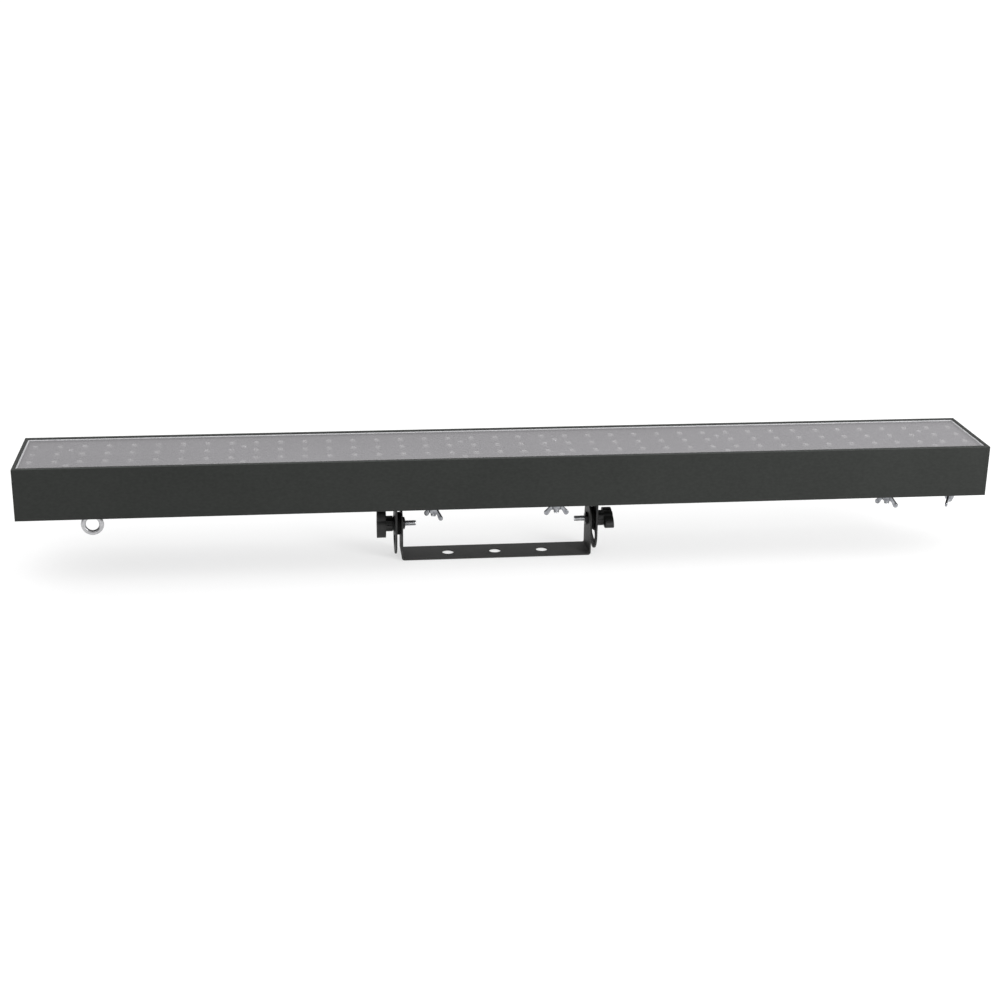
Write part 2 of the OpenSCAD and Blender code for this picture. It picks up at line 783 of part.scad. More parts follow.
// ---------- pivot hardware ----------

module pivot_nut(side) {
    x1 = arm_x - yoke_t;
    color([0.1, 0.1, 0.1]) translate([bracket_x, 0, 0]) mirror([side < 0 ? 1 : 0, 0, 0]) difference() {
        rod_x(x1 - 3.2, x1, 7, pivot_z);
        rod_x(x1 - 5, x1 + 1, m6_r + FIT, pivot_z);
    }
}

module pivot_nut_left() pivot_nut(-1);
module pivot_nut_right() pivot_nut(1);

module knob(side, turn) {
    head_x = knob_x + knob_hub_l;
    color([0.07, 0.07, 0.07]) translate([bracket_x, 0, 0]) mirror([side < 0 ? 1 : 0, 0, 0])
        translate([0, 0, pivot_z]) rotate([turn, 0, 0]) difference() {
            union() {
                rod_x(knob_x, head_x + knob_head_t, knob_hub_d / 2);
                along_x(head_x, head_x + knob_head_t) stadium(12, knob_span);
            }
            rod_x(knob_x - 1, head_x + 5, m6_r + FIT);
        }
}

module knob_left() knob(-1, knob_turn_left);
module knob_right() knob(1, knob_turn_right);

module knob_stud(side) {
    color("silver") translate([bracket_x, 0, 0]) mirror([side < 0 ? 1 : 0, 0, 0])
        rod_x(arm_x - 16, knob_x + knob_hub_l + 4.5, m6_r, pivot_z);
}

module knob_stud_left() knob_stud(-1);
module knob_stud_right() knob_stud(1);

module knob_washer(side) {
    color([0.1, 0.1, 0.1]) translate([bracket_x, 0, 0]) mirror([side < 0 ? 1 : 0, 0, 0]) difference() {
        rod_x(knob_x - knob_washer_t, knob_x, 8.5, pivot_z);
        rod_x(knob_x - 2, knob_x + 1, m6_r + FIT, pivot_z);
    }
}

module knob_washer_left() knob_washer(-1);
module knob_washer_right() knob_washer(1);

// ---------- the whole object ----------

housing();
end_cap_left();
end_cap_right();
end_cap_screws();
diffuser();
led_board_left();
led_board_right();
led_packages_left();
led_packages_right();
led_board_screws();
board_standoffs();
carrier_plate();
power_supply_case();
power_supply_board();
power_supply_screws();
control_board();
control_board_spacers();
control_panel();
control_panel_screws();
display_window();
menu_button_1();
menu_button_2();
menu_button_3();
menu_button_4();
power_inlet();
power_outlet();
data_input_socket();
data_output_socket();
socket_screws();
fuse_holder();
fuse_cap();
mains_wires();
board_supply_wires();
data_ribbon();
eye_bolt();
eye_bolt_nut();
link_plate();
link_bolts();
link_washers();
link_wing_nuts();
mount_bracket();
bracket_bolts();
bracket_washers();
bracket_wing_nuts();
friction_disc_left();
friction_disc_right();
yoke();
pivot_nut_left();
pivot_nut_right();
knob_left();
knob_right();
knob_stud_left();
knob_stud_right();
knob_washer_left();
knob_washer_right();
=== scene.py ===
"""Looks for the LED strip batten: materials, fine pieces, camera, lights and floor."""

import json
import math

import bmesh
import bpy
import numpy as np
from mathutils import Matrix, Vector


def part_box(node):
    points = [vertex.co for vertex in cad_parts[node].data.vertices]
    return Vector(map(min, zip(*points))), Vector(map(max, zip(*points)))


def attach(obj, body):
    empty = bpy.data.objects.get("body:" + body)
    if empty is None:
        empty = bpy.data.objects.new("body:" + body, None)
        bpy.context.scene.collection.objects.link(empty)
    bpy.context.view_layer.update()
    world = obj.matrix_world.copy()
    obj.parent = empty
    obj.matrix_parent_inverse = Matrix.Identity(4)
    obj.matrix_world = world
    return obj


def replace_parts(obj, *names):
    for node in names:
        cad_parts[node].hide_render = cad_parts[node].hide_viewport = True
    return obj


MM = 0.001
SIDE_LINE = 30               # degrees over which an edge shows as a sharp line
PITCH = 25 * MM              # spacing of the light sources, both ways
RIM_W = 5 * MM               # width of the rim along the diffuser's long sides
SCREW_R = 3 * MM             # M6: bolts, studs and the eye bolt's shank
BOLT_HEAD_T = 3.6 * MM       # thickness of the square heads in the rails
HUB_L = 7.6 * MM             # length of a clamp knob's hub below its wings
HUB_R = 7.5 * MM             # its radius
WING_R = 5.9 * MM            # radius of its rounded wing tips
FLOOR_HALF = 60              # metres from the middle of the floor to its edge

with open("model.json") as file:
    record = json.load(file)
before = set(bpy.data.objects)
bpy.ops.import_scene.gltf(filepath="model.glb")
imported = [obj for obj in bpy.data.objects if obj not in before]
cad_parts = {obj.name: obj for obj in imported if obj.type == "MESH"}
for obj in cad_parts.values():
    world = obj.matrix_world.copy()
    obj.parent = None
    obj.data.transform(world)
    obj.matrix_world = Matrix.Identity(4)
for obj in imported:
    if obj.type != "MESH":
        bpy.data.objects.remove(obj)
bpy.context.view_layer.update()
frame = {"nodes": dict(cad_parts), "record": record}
NODES = frame["nodes"]
BODY_OF = {n: b for b, ns in frame["record"]["behaviour"]["bodies"].items() for n in ns}
SLOT_OF = {s["node"]: s["material_slot"] for s in frame["record"]["subparts"]}


# ---------- reading places from the frame ----------

def solids(node):
    """The vertices of each separate solid of a CAD node, in order of their X then Y centres."""
    mesh = NODES[node].data
    points = np.array([v.co for v in mesh.vertices])
    keys = {}
    welded = [keys.setdefault(tuple(np.round(p, 6)), len(keys)) for p in points]
    parent = list(range(len(keys)))

    def root(i):
        while parent[i] != i:
            parent[i] = parent[parent[i]]
            i = parent[i]
        return i

    for edge in mesh.edges:
        parent[root(welded[edge.vertices[0]])] = root(welded[edge.vertices[1]])
    groups = {}
    for p, w in zip(points, welded):
        groups.setdefault(root(w), []).append(p)
    out = [np.array(g) for g in groups.values()]
    return sorted(out, key=lambda g: tuple(np.round((g.min(0) + g.max(0)) / 2, 4)))


def middle(points):
    return Vector((points.min(0) + points.max(0)) / 2)


def turn_about_z(points):
    """The direction in which a solid is longest, seen from above."""
    flat = points[:, :2] - (points[:, :2].min(0) + points[:, :2].max(0)) / 2
    vectors = np.linalg.eigh(flat.T @ flat)[1]
    return math.atan2(vectors[1, -1], vectors[0, -1])


# ---------- materials ----------

def shader(name):
    """A new material with one Principled shader: (material, its node tree, the shader)."""
    mat = bpy.data.materials.new(name)
    mat.use_nodes = True
    tree = mat.node_tree
    tree.nodes.clear()
    out = tree.nodes.new("ShaderNodeOutputMaterial")
    principled = tree.nodes.new("ShaderNodeBsdfPrincipled")
    tree.links.new(principled.outputs["BSDF"], out.inputs["Surface"])
    return mat, tree, principled


def grain(tree, scale, detail=3.0, stretch=(1, 1, 1)):
    """The factor of a noise in the object's own coordinates, with its scale per metre."""
    coords = tree.nodes.new("ShaderNodeTexCoord")
    mapping = tree.nodes.new("ShaderNodeMapping")
    mapping.inputs["Scale"].default_value = stretch
    noise = tree.nodes.new("ShaderNodeTexNoise")
    noise.inputs["Scale"].default_value = scale
    noise.inputs["Detail"].default_value = detail
    tree.links.new(coords.outputs["Object"], mapping.inputs["Vector"])
    tree.links.new(mapping.outputs["Vector"], noise.inputs["Vector"])
    return noise.outputs["Fac"]


def spread(tree, value, low, high, start=0.3, end=0.7):
    """Maps a factor from start..end to low..high."""
    node = tree.nodes.new("ShaderNodeMapRange")
    node.inputs["From Min"].default_value = start
    node.inputs["From Max"].default_value = end
    node.inputs["To Min"].default_value = low
    node.inputs["To Max"].default_value = high
    tree.links.new(value, node.inputs["Value"])
    return node.outputs["Result"]


def blend_colours(tree, factor, colour_a, colour_b):
    """Mixes two colours, each a tuple or a socket, by a factor socket."""
    node = tree.nodes.new("ShaderNodeMix")
    node.data_type = "RGBA"
    tree.links.new(factor, node.inputs["Factor"])
    for name, colour in (("A", colour_a), ("B", colour_b)):
        socket = [s for s in node.inputs if s.name == name and s.type == "RGBA"][0]
        if isinstance(colour, tuple):
            socket.default_value = (*colour, 1)
        else:
            tree.links.new(colour, socket)
    return [s for s in node.outputs if s.type == "RGBA"][0]


def edge_mask(tree, radius):
    """Close to 1 along sharp outer edges and 0 on flat faces."""
    bevel = tree.nodes.new("ShaderNodeBevel")
    bevel.samples = 4
    bevel.inputs["Radius"].default_value = radius
    geometry = tree.nodes.new("ShaderNodeNewGeometry")
    dot = tree.nodes.new("ShaderNodeVectorMath")
    dot.operation = "DOT_PRODUCT"
    tree.links.new(bevel.outputs["Normal"], dot.inputs[0])
    tree.links.new(geometry.outputs["Normal"], dot.inputs[1])
    return spread(tree, dot.outputs["Value"], 1.0, 0.0, 0.8, 0.99)


def bump(tree, principled, height, distance, strength=1.0):
    node = tree.nodes.new("ShaderNodeBump")
    node.inputs["Distance"].default_value = distance
    node.inputs["Strength"].default_value = strength
    tree.links.new(height, node.inputs["Height"])
    tree.links.new(node.outputs["Normal"], principled.inputs["Normal"])


def maths(tree, operation, a, b):
    """A maths node on two values, each a number or a socket."""
    node = tree.nodes.new("ShaderNodeMath")
    node.operation = operation
    for socket, value in zip(node.inputs, (a, b)):
        if isinstance(value, (int, float)):
            socket.default_value = value
        else:
            tree.links.new(value, socket)
    return node.outputs["Value"]


def surface(name, dark, light, rough=(0.4, 0.5), metal=0.0, cloud=30, fine=1500, relief=0.02 * MM,
            stretch=(1, 1, 1), wear=None, wear_radius=0.5 * MM, specular=0.5, coat=0.0, mottle=0.0):
    """A finish: slow colour variation, fine grain in roughness and relief, and worn edges."""
    mat, tree, principled = shader(name)
    clouds = spread(tree, grain(tree, cloud, 4.0, stretch), 0, 1)
    fine_grain = grain(tree, fine, 2.0, stretch)
    if mottle:
        speckle = spread(tree, grain(tree, 420, 2.0, (0.6, 1, 1)), 0, 1)
        clouds = maths(tree, "ADD", maths(tree, "MULTIPLY", clouds, 1 - mottle),
                       maths(tree, "MULTIPLY", speckle, mottle))
    colour = blend_colours(tree, clouds, dark, light)
    if wear:
        scuff = grain(tree, cloud * 8, 3.0)
        worn = maths(tree, "MULTIPLY", edge_mask(tree, wear_radius),
                     spread(tree, scuff, 0.0, 0.8, 0.4, 0.65))
        colour = blend_colours(tree, worn, colour, wear)
    tree.links.new(colour, principled.inputs["Base Color"])
    tree.links.new(spread(tree, fine_grain, *rough), principled.inputs["Roughness"])
    bump(tree, principled, fine_grain, relief)
    principled.inputs["Metallic"].default_value = metal
    principled.inputs["Specular IOR Level"].default_value = specular
    principled.inputs["Coat Weight"].default_value = coat
    return mat


def board_surface(name, mask_dark, mask_light, pad, ring_pitch=0.0):
    """A printed circuit board: solder resist over faint tracks, small bright pads, and a soft pale
    ring round each light source where their pitch is given."""
    mat, tree, principled = shader(name)
    coords = tree.nodes.new("ShaderNodeTexCoord")
    tracks = tree.nodes.new("ShaderNodeTexBrick")
    tracks.inputs["Scale"].default_value = 160
    tracks.inputs["Mortar Size"].default_value = 0.06
    tree.links.new(coords.outputs["Object"], tracks.inputs["Vector"])
    colour = blend_colours(tree, tracks.outputs["Fac"], mask_dark, mask_light)
    cells = tree.nodes.new("ShaderNodeTexVoronoi")
    cells.inputs["Scale"].default_value = 220
    tree.links.new(coords.outputs["Object"], cells.inputs["Vector"])
    pads = spread(tree, cells.outputs["Distance"], 1.0, 0.0, 0.08, 0.12)
    colour = blend_colours(tree, pads, colour, pad)
    if ring_pitch:
        scaled = tree.nodes.new("ShaderNodeMapping")
        scaled.inputs["Scale"].default_value = (1 / ring_pitch, 1 / ring_pitch, 0)
        tree.links.new(coords.outputs["Object"], scaled.inputs["Vector"])
        cell = tree.nodes.new("ShaderNodeVectorMath")
        cell.operation = "FRACTION"
        tree.links.new(scaled.outputs["Vector"], cell.inputs[0])
        reach = tree.nodes.new("ShaderNodeVectorMath")
        reach.operation = "DISTANCE"
        tree.links.new(cell.outputs["Vector"], reach.inputs[0])
        reach.inputs[1].default_value = (0.5, 0.5, 0)
        ring = spread(tree, reach.outputs["Value"], 0.7, 0.0, 0.1, 0.2)
        colour = blend_colours(tree, ring, colour, pad)
    tree.links.new(colour, principled.inputs["Base Color"])
    tree.links.new(spread(tree, grain(tree, 900), 0.25, 0.4), principled.inputs["Roughness"])
    bump(tree, principled, tracks.outputs["Fac"], 0.03 * MM)
    return mat


def smoked_sheet(name):
    """Satin smoked acrylic: a grey haze that lets a little of the light sources show through."""
    mat, tree, principled = shader(name)
    haze = grain(tree, 9, 3.0)
    satin = grain(tree, 2600, 2.0)
    colour = blend_colours(tree, spread(tree, haze, 0, 1), (0.297, 0.29, 0.301),
                           (0.316, 0.309, 0.321))
    tree.links.new(colour, principled.inputs["Base Color"])
    tree.links.new(spread(tree, satin, 0.42, 0.5), principled.inputs["Roughness"])
    bump(tree, principled, satin, 0.01 * MM)
    principled.inputs["IOR"].default_value = 1.49
    principled.inputs["Alpha"].default_value = 0.47
    return mat


POWDER = surface("powder_black", (0.008, 0.0095, 0.008), (0.015, 0.017, 0.015), (0.44, 0.54),
                 cloud=12, fine=1700, relief=0.03 * MM, wear=(0.025, 0.025, 0.025), specular=0.3,
                 mottle=0.6)
TEXTURED = surface("textured_black", (0.006, 0.006, 0.006), (0.01, 0.01, 0.01), (0.5, 0.62),
                   cloud=60, fine=1400, relief=0.05 * MM, wear=(0.08, 0.08, 0.08))
YOKE_COAT = surface("yoke_coat", (0.029, 0.029, 0.028), (0.036, 0.036, 0.035), (0.5, 0.6), cloud=60,
                    fine=1500, relief=0.04 * MM, wear=(0.06, 0.06, 0.06), specular=0.2)
ZINC = surface("bright_zinc", (0.62, 0.63, 0.65), (0.8, 0.81, 0.82), (0.2, 0.34), 1.0, cloud=500,
               fine=3000, relief=0.01 * MM)
CAST_ZINC = surface("cast_zinc", (0.14, 0.145, 0.16), (0.4, 0.41, 0.43), (0.16, 0.3), 1.0,
                    cloud=260, fine=2500, relief=0.02 * MM)
FORGED_ZINC = surface("forged_zinc", (0.42, 0.42, 0.43), (0.55, 0.55, 0.56), (0.26, 0.4), 1.0,
                      cloud=400, fine=2500, relief=0.02 * MM)
SCREW_ZINC = surface("screw_zinc", (0.8, 0.8, 0.8), (0.92, 0.92, 0.92), (0.3, 0.45), 0.3, cloud=800,
                     fine=3000, relief=0.01 * MM)
DARK_STEEL = surface("black_zinc", (0.02, 0.02, 0.022), (0.05, 0.05, 0.052), (0.3, 0.42), 0.9,
                     cloud=400, fine=2500, relief=0.01 * MM, wear=(0.3, 0.3, 0.3),
                     wear_radius=0.3 * MM)
SHEET = surface("mill_sheet", (0.55, 0.56, 0.57), (0.68, 0.69, 0.7), (0.3, 0.42), 1.0, cloud=40,
                fine=900, relief=0.01 * MM, stretch=(0.1, 1, 1))
NYLON = surface("black_nylon", (0.005, 0.005, 0.005), (0.009, 0.009, 0.009), (0.42, 0.55),
                cloud=200, fine=2200, relief=0.03 * MM, wear=(0.03, 0.03, 0.03))
RUBBER = surface("matt_rubber", (0.006, 0.006, 0.006), (0.012, 0.012, 0.012), (0.7, 0.85),
                 cloud=150, fine=1800, relief=0.04 * MM, specular=0.3)
KEY_RUBBER = surface("key_rubber", (0.06, 0.06, 0.063), (0.08, 0.08, 0.083), (0.55, 0.7), cloud=300,
                     fine=2000, relief=0.02 * MM)
BLUE = surface("blue_moulding", (0.01, 0.035, 0.2), (0.014, 0.045, 0.24), (0.35, 0.45), cloud=200,
               fine=2000)
GREY = surface("grey_moulding", (0.34, 0.34, 0.33), (0.4, 0.4, 0.39), (0.35, 0.45), cloud=200,
               fine=2000)
BRASS = surface("contact_gold", (0.7, 0.5, 0.2), (0.8, 0.6, 0.28), (0.2, 0.3), 1.0, cloud=800,
                fine=3000)
LED_WHITE = surface("led_white", (0.72, 0.72, 0.7), (0.8, 0.8, 0.78), (0.35, 0.5), cloud=400,
                    fine=2500)
LED_WINDOW = surface("led_window", (0.75, 0.72, 0.55), (0.82, 0.8, 0.65), (0.1, 0.2), cloud=600,
                     fine=2500)
# pale colour of the strip round the diffuser: a painted highlight for the light caught on the rim's
# inner edges
PAINTED_RIM_HIGHLIGHT = surface("pale_painted_highlight", (0.36, 0.36, 0.37), (0.42, 0.42, 0.43), (0.4, 0.5), cloud=60, fine=1500)
GLASSY = surface("display_glass", (0.004, 0.006, 0.009), (0.006, 0.009, 0.013), (0.06, 0.12),
                 cloud=50, fine=800, relief=0.002 * MM, coat=0.5)
BROWN_WIRE = surface("brown_wire", (0.1, 0.045, 0.02), (0.13, 0.06, 0.028), (0.3, 0.4), cloud=300,
                     fine=1500)
RED_WIRE = surface("red_wire", (0.28, 0.012, 0.01), (0.34, 0.018, 0.014), (0.3, 0.4), cloud=300,
                   fine=1500)
RIBBON = surface("ribbon_grey", (0.26, 0.26, 0.26), (0.36, 0.36, 0.36), (0.4, 0.5), cloud=700,
                 fine=1500, stretch=(0.02, 1, 1))
DARK_BOARD = board_surface("led_board_mask", (0.009, 0.01, 0.011), (0.014, 0.016, 0.018),
                           (0.3, 0.3, 0.3), PITCH)
GREEN_BOARD = board_surface("control_mask", (0.005, 0.045, 0.018), (0.008, 0.065, 0.026),
                            (0.5, 0.5, 0.48))
SMOKED = smoked_sheet("smoked_acrylic")

FINISH_OF_SLOT = {
    "black_housing": POWDER, "black_bracket": TEXTURED, "grey_yoke": YOKE_COAT,
    "smoked_acrylic": SMOKED, "circuit_board": DARK_BOARD, "led_package": LED_WHITE, "zinc": ZINC,
    "aluminium_sheet": SHEET, "supply_steel": SHEET, "green_board": GREEN_BOARD,
    "black_plastic": NYLON, "blue_plastic": BLUE, "grey_plastic": GREY, "display_glass": GLASSY,
    "button_rubber": KEY_RUBBER, "brown_wire": BROWN_WIRE, "red_wire": RED_WIRE,
    "ribbon_cable": RIBBON, "dark_steel": DARK_STEEL, "friction_rubber": RUBBER,
}


def dress(obj, *materials):
    obj.data.materials.clear()
    for material in materials:
        obj.data.materials.append(material)


for node_name, node_object in NODES.items():
    dress(node_object, FINISH_OF_SLOT[SLOT_OF[node_name]])


# ---------- making pieces ----------

def add_object(name, mesh, *materials):
    obj = bpy.data.objects.new(name, mesh)
    bpy.context.scene.collection.objects.link(obj)
    dress(obj, *materials)
    return obj


def piece(name, bm, node, *materials, smooth=SIDE_LINE):
    """Makes a bmesh into a piece that stands for a CAD node and moves with the node's body."""
    mesh = bpy.data.meshes.new(name)
    bmesh.ops.recalc_face_normals(bm, faces=bm.faces)
    bm.to_mesh(mesh)
    bm.free()
    obj = add_object(name, mesh, *materials)
    shade(obj, smooth)
    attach(obj, BODY_OF[node])
    return obj


def shade(obj, degrees):
    """Smooth shading that stays sharp over the angle given."""
    mesh = obj.data
    mesh.shade_smooth()
    mesh.set_sharp_from_angle(angle=math.radians(degrees))


def apply_modifiers(obj):
    """Replaces the object's mesh by what its modifiers make of it."""
    bpy.context.view_layer.update()
    evaluated = obj.evaluated_get(bpy.context.evaluated_depsgraph_get())
    mesh = bpy.data.meshes.new_from_object(evaluated)
    obj.modifiers.clear()
    obj.data = mesh


def rounded(node, width, segments=2, angle=35):
    """A copy of a CAD node with its sharp edges broken, which stands for the node."""
    bm = bmesh.new()
    bm.from_mesh(NODES[node].data)
    bmesh.ops.remove_doubles(bm, verts=bm.verts, dist=0.002 * MM)
    bmesh.ops.dissolve_limit(bm, angle_limit=math.radians(0.5), verts=bm.verts, edges=bm.edges)
    obj = piece(node + "_rounded", bm, node, NODES[node].data.materials[0])
    bevel = obj.modifiers.new("edge", "BEVEL")
    bevel.width = width
    bevel.segments = segments
    bevel.limit_method = "ANGLE"
    bevel.angle_limit = math.radians(angle)
    flats = obj.modifiers.new("flats", "WEIGHTED_NORMAL")
    flats.keep_sharp = True
    apply_modifiers(obj)
    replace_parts(obj, node)
    return obj


def facing(direction, axis):
    """The turn that points an object's own axis along a direction."""
    return direction.to_track_quat(axis, "Y").to_matrix().to_4x4()


def angles(steps, offset=0.0):
    """Evenly spaced angles round a whole turn."""
    return [2 * math.pi * (i + offset) / steps for i in range(steps)]


def skin(bm, rings):
    """Faces between each ring of vertices and the next. A ring may be a single vertex."""
    for a, b in zip(rings, rings[1:]):
        steps = max(len(a), len(b))
        for i in range(steps):
            j = (i + 1) % steps
            corners = [a[i % len(a)], a[j % len(a)], b[j % len(b)], b[i % len(b)]]
            unique = list(dict.fromkeys(corners))
            if len(unique) > 2:
                bm.faces.new(unique)


def lathe(bm, profile, axis_point, along_x=False, steps=32):
    """Turns an open outline of (radius, height) points about Z, or X, and closes it at radius 0."""
    turn = Matrix.Rotation(math.pi / 2, 4, "Y") if along_x else Matrix.Identity(4)
    rings = []
    for r, h in profile:
        around = angles(steps)[:1] if r == 0 else angles(steps)
        points = [Vector((r * math.cos(a), r * math.sin(a), h)) for a in around]
        rings.append([bm.verts.new(Vector(axis_point) + turn @ p) for p in points])
    skin(bm, rings)


def slab(bm, outline, low, high, place):
    """A closed flat piece: a 2-D outline between two heights, put in place by a matrix."""
    bottom = [bm.verts.new(place @ Vector((x, y, low))) for x, y in outline]
    top = [bm.verts.new(place @ Vector((x, y, high))) for x, y in outline]
    bm.faces.new(bottom[::-1])
    bm.faces.new(top)
    count = len(outline)
    for i in range(count):
        j = (i + 1) % count
        bm.faces.new([bottom[i], bottom[j], top[j], top[i]])


def fused(bm, voxel, smooth_steps):
    """One closed skin over all of a bmesh's overlapping closed shapes, smoothed like a casting."""
    mesh = bpy.data.meshes.new("fusing")
    bmesh.ops.recalc_face_normals(bm, faces=bm.faces)
    bm.to_mesh(mesh)
    bm.free()
    obj = bpy.data.objects.new("fusing", mesh)
    bpy.context.scene.collection.objects.link(obj)
    remesh = obj.modifiers.new("skin", "REMESH")
    remesh.mode = "VOXEL"
    remesh.voxel_size = voxel
    soften = obj.modifiers.new("soften", "SMOOTH")
    soften.factor = 0.5
    soften.iterations = smooth_steps
    apply_modifiers(obj)
    out = bmesh.new()
    out.from_mesh(obj.data)
    bpy.data.objects.remove(obj)
    return out


def thread(bm, start, end, radius):
    """A screw thread between two points, with chamfered ends."""
    pitch, depth, taper = 1.0 * MM, 0.5 * MM, 1.2 * MM
    steps, per_turn = 24, 6
    axis = (end - start).normalized()
    length = (end - start).length
    side = axis.orthogonal().normalized()
    other = axis.cross(side)
    rings = []
    count = max(4, round(length / pitch * per_turn))
    for k in range(count + 1):
        z = length * k / count
        chamfer = max(0.0, 1 - min(z, length - z) / taper)
        ring = []
        for i in range(steps):
            a = 2 * math.pi * i / steps
            phase = (z / pitch - i / steps) % 1.0
            groove = depth * abs(2 * phase - 1)
            r = radius - max(groove, chamfer * depth * 1.3)
            across = side * (r * math.cos(a)) + other * (r * math.sin(a))
            ring.append(bm.verts.new(start + axis * z + across))
        rings.append(ring)
    skin(bm, rings)
    bm.faces.new(rings[0][::-1])
    bm.faces.new(rings[-1])


# ---------- the pale strip round the diffuser: a painted highlight ---

def painted_rim_highlight():
    """A pale strip in the corner between the sheet and the rim's inner faces: a painted highlight
    that stands for the light caught on the rim's inner edges.
    """
    base_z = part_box("diffuser")[1].z - 0.02 * MM
    cap_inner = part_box("housing")[1].x
    lip_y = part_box("housing")[1].y - RIM_W
    rise, run = 0.65 * MM, 1.6 * MM
    steps = 6
    bm = bmesh.new()
    rings = []
    for k in range(steps + 1):
        a = math.pi / 2 * k / steps
        inset = run * (1 - math.sin(a))
        z = base_z + rise * (1 - math.cos(a))
        rings.append([bm.verts.new((sx * (cap_inner - inset), sy * (lip_y - inset), z))
                      for sx, sy in ((-1, -1), (1, -1), (1, 1), (-1, 1))])
    foot = [bm.verts.new((v.co.x, v.co.y, base_z)) for v in rings[-1]]
    skin(bm, [*rings, foot, rings[0]])
    piece("painted_rim_highlight", bm, "housing", PAINTED_RIM_HIGHLIGHT)


# ---------- light sources ----------

def light_source(bm, centre, side, height):
    """One surface-mount light source: a square body with four dies in a round sunk window."""
    half = side / 2
    window_r = 0.4 * side
    sunk = 0.25 * height
    z1 = centre.z + height / 2
    z0 = centre.z - height / 2

    def ring(radius_at, z):
        return [bm.verts.new((centre.x + radius_at(a) * math.cos(a),
                              centre.y + radius_at(a) * math.sin(a), z)) for a in angles(16, 0.5)]

    def square(a):
        return half / max(abs(math.cos(a)), abs(math.sin(a)))

    bottom = ring(square, z0)
    shoulder = ring(square, z1 - 0.15 * height)
    edge = ring(lambda a: square(a) * 0.96, z1)
    lip = ring(lambda a: window_r, z1)
    well = ring(lambda a: window_r * 0.88, z1 - sunk)
    skin(bm, [bottom, shoulder, edge, lip, well])
    bm.faces.new(bottom[::-1])
    bm.faces.new(well).material_index = 1
    die = 0.09 * side
    for sx in (-1, 1):
        for sy in (-1, 1):
            x, y = centre.x + sx * 1.8 * die, centre.y + sy * 1.8 * die
            corners = [(x - die, y - die), (x + die, y - die),
                       (x + die, y + die), (x - die, y + die)]
            slab(bm, corners, z1 - sunk - 0.02 * MM, z1 - 0.6 * sunk, Matrix.Identity(4))


def light_sources(node):
    bm = bmesh.new()
    for body in solids(node):
        size = body.max(0) - body.min(0)
        light_source(bm, middle(body), size[0], size[2])
    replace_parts(piece(node + "_detailed", bm, node, LED_WHITE, LED_WINDOW), node)


# ---------- fasteners ----------

def wing_nut_casting(span, height):
    """A cast wing nut about Z: its flat face at z = 0, its wings hanging down along X."""
    bm = bmesh.new()
    hub = [(0, 0), (5.1, 0), (5.4, -0.5), (5.2, -3), (4.4, -6.5), (4.1, -7), (0, -7)]
    lathe(bm, [(r * MM, z * MM) for r, z in hub], (0, 0, 0), steps=40)
    tip = 2.7 * MM
    half = span / 2
    arc = [(half - tip + tip * math.cos(a), -height + tip + tip * math.sin(a))
           for a in (math.radians(d) for d in range(60, -151, -15))]
    outline = [(1.5 * MM, -0.8 * MM), (4.8 * MM, -0.6 * MM), (6.2 * MM, -2.4 * MM)] + arc
    outline += [(5.6 * MM, -7.4 * MM), (3.4 * MM, -6.9 * MM), (1.5 * MM, -6.8 * MM)]
    upright = Matrix.Rotation(math.pi / 2, 4, "X")
    for flip in (1, -1):
        side = Matrix.Diagonal((flip, 1, 1, 1))
        slab(bm, outline, -1.15 * MM, 1.15 * MM, side @ upright)
    return fused(bm, 0.42 * MM, 4)


def wing_nuts(node, casting):
    bm = bmesh.new()
    for nut in solids(node):
        centre = middle(nut)
        place = Matrix.Translation((centre.x, centre.y, nut[:, 2].max()))
        copy = casting.copy()
        copy.transform(place @ Matrix.Rotation(turn_about_z(nut), 4, "Z"))
        mesh = bpy.data.meshes.new("nut")
        copy.to_mesh(mesh)
        copy.free()
        bm.from_mesh(mesh)
        bpy.data.meshes.remove(mesh)
    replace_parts(piece(node + "_cast", bm, node, CAST_ZINC, smooth=60), node)


def rail_bolts(node):
    """Threaded shanks with square heads that ride in the rails."""
    bm = bmesh.new()
    for bolt in solids(node):
        centre = middle(bolt)
        low, high = Vector(bolt.min(0)), Vector(bolt.max(0))
        head_z = high.z - BOLT_HEAD_T
        shank_top = Vector((centre.x, centre.y, head_z + 0.4 * MM))
        thread(bm, Vector((centre.x, centre.y, low.z)), shank_top, SCREW_R)
        corners = [(low.x, low.y), (high.x, low.y), (high.x, high.y), (low.x, high.y)]
        slab(bm, corners, head_z, high.z, Matrix.Identity(4))
    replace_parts(piece(node + "_threaded", bm, node, ZINC, smooth=40), node)


def eye_bolt():
    """A forged ring with a collar, and its threaded shank."""
    low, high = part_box("eye_bolt")
    wire_r = 2.5 * MM
    ring_r = (high.x - low.x) / 2 - wire_r
    x, y = (low.x + high.x) / 2, (low.y + high.y) / 2
    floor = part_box("housing")[0].z
    ring_z = low.z + ring_r + wire_r
    bm = bmesh.new()
    rings = [[bm.verts.new((x + (ring_r + wire_r * math.cos(b)) * math.cos(a),
                            y + wire_r * math.sin(b),
                            ring_z + (ring_r + wire_r * math.cos(b)) * math.sin(a)))
              for b in angles(20)] for a in angles(72)]
    skin(bm, [*rings, rings[0]])
    collar = [(0, 0), (5.4, 0), (5.6, -0.3), (5.6, -1.3), (5.2, -1.7), (3.7, -2.6), (3.2, -3.6),
              (0, -3.6)]
    lathe(bm, [(r * MM, z * MM) for r, z in collar], (x, y, floor), steps=40)
    ring = fused(bm, 0.4 * MM, 3)
    thread(ring, Vector((x, y, floor - 0.5 * MM)), Vector((x, y, high.z)), SCREW_R)
    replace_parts(piece("eye_bolt_forged", ring, "eye_bolt", FORGED_ZINC, smooth=60), "eye_bolt")


